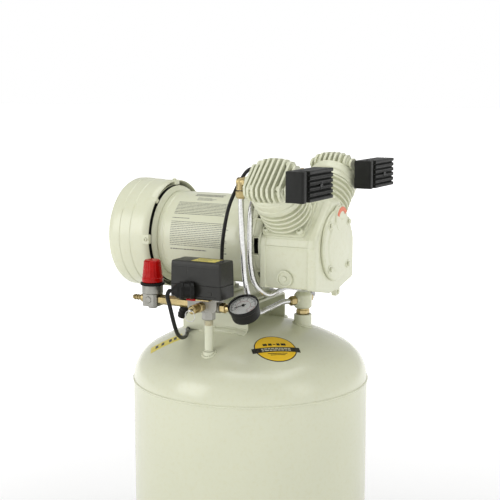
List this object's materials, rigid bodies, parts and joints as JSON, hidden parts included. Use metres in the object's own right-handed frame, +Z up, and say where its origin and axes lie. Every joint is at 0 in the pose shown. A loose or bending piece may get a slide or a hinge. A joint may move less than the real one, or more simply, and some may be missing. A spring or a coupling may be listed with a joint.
{
  "type": "vertical tank compressor",
  "caption": "Upright air tank on rubber feet, with a V-twin pump, a motor under a slotted fan cowl, and a switch, regulator and gauge on a riser.",
  "frame": {"origin": "middle of the whole object's footprint box, at floor level", "axes": "+Z up; the motor and crank axis runs along X, with the pump at +X and the cooling fan at -X; the switch, regulator and gauge are on the -Y side"},
  "size_m": [0.426, 0.396, 0.7932],
  "materials": {
    "cream_paint": "semi-gloss cream enamel, lightly orange-peeled",
    "black_plastic": "black moulded plastic with a fine grain",
    "grey_plastic": "dark grey moulded plastic",
    "red_plastic": "glossy red plastic",
    "rubber": "black rubber",
    "brass": "dull machined brass",
    "aluminium": "drawn or machined aluminium",
    "zinc": "dull zinc die casting",
    "steel": "machined or plated steel",
    "laminated": "laminated electrical steel"
  },
  "bodies": {
    "compressor": {"tank_shell": "cream_paint", "leg_1": "cream_paint", "leg_2": "cream_paint", "leg_3": "cream_paint", "motor_saddle": "cream_paint", "motor_shell": "cream_paint", "end_bell_rear": "cream_paint", "end_bell_front": "cream_paint", "fan_cowl": "cream_paint", "crankcase": "cream_paint", "crankcase_cover": "cream_paint", "cylinder_front": "cream_paint", "cylinder_rear": "cream_paint", "head_front": "cream_paint", "head_rear": "cream_paint", "check_valve_body": "cream_paint", "riser_pipe": "cream_paint", "filter_base_front": "black_plastic", "filter_base_rear": "black_plastic", "filter_cover_front": "black_plastic", "filter_cover_rear": "black_plastic", "switch_base": "black_plastic", "motor_gland": "black_plastic", "mains_gland": "black_plastic", "motor_lead": "black_plastic", "unloader_tube": "black_plastic", "switch_cover": "grey_plastic", "foot_1": "rubber", "foot_2": "rubber", "foot_3": "rubber", "elbow_front": "brass", "elbow_rear": "brass", "check_valve_base": "brass", "valve_nut_front": "brass", "valve_nut_rear": "brass", "hex_nipple": "brass", "hose_barb": "brass", "safety_valve": "brass", "drain_valve": "brass", "discharge_tube_front": "aluminium", "discharge_tube_rear": "aluminium", "manifold": "zinc", "regulator_body": "zinc", "bearing_rear": "steel", "bearing_front": "steel", "gauge_case": "steel", "stator": "laminated"},
    "shaft": {"crankshaft": "steel", "rotor_core": "laminated", "cooling_fan": "black_plastic"},
    "front_piston": {"piston_front": "aluminium"},
    "rear_piston": {"piston_rear": "aluminium"},
    "regulator_knob": {"regulator_knob": "red_plastic"},
    "switch_lever": {"switch_lever": "black_plastic"},
    "gauge_pointer": {"gauge_pointer": "black_plastic"},
    "safety_pull": {"safety_pull": "steel"},
    "drain_wing": {"drain_wing": "brass"}
  },
  "joints": [
    {"name": "shaft_spin", "type": "hinge", "parent": "compressor", "child": "shaft", "pos_m": [0.015, 0, 0.64922], "axis": [1, 0, 0], "continuous": true},
    {"name": "front_piston_slide", "type": "slide", "parent": "compressor", "child": "front_piston", "axis": [0, -0.7071, 0.7071], "range_m": [-0.009, 0.009]},
    {"name": "rear_piston_slide", "type": "slide", "parent": "compressor", "child": "rear_piston", "axis": [0, 0.7071, 0.7071], "range_m": [-0.009, 0.009]},
    {"name": "regulator_knob_turn", "type": "hinge", "parent": "compressor", "child": "regulator_knob", "pos_m": [-0.09, -0.14, 0.61], "axis": [0, 0, 1], "range_deg": [-720, 1080]},
    {"name": "switch_lever_flip", "type": "hinge", "parent": "compressor", "child": "switch_lever", "pos_m": [0.03, -0.16, 0.5717], "axis": [0, -1, 0], "range_deg": [0, 8]},
    {"name": "gauge_pointer_swing", "type": "hinge", "parent": "compressor", "child": "gauge_pointer", "pos_m": [0.08, -0.14, 0.55772], "axis": [0, -0.5, 0.866], "range_deg": [-270, 0]},
    {"name": "safety_pull_slide", "type": "slide", "parent": "compressor", "child": "safety_pull", "axis": [0, -1, 0], "range_m": [0, 0.003], "stiffness_N_per_m": 2000},
    {"name": "drain_wing_turn", "type": "hinge", "parent": "compressor", "child": "drain_wing", "pos_m": [0.015, -0.045, 0.03], "axis": [0, -1, 0], "range_deg": [0, 720]}
  ]
}
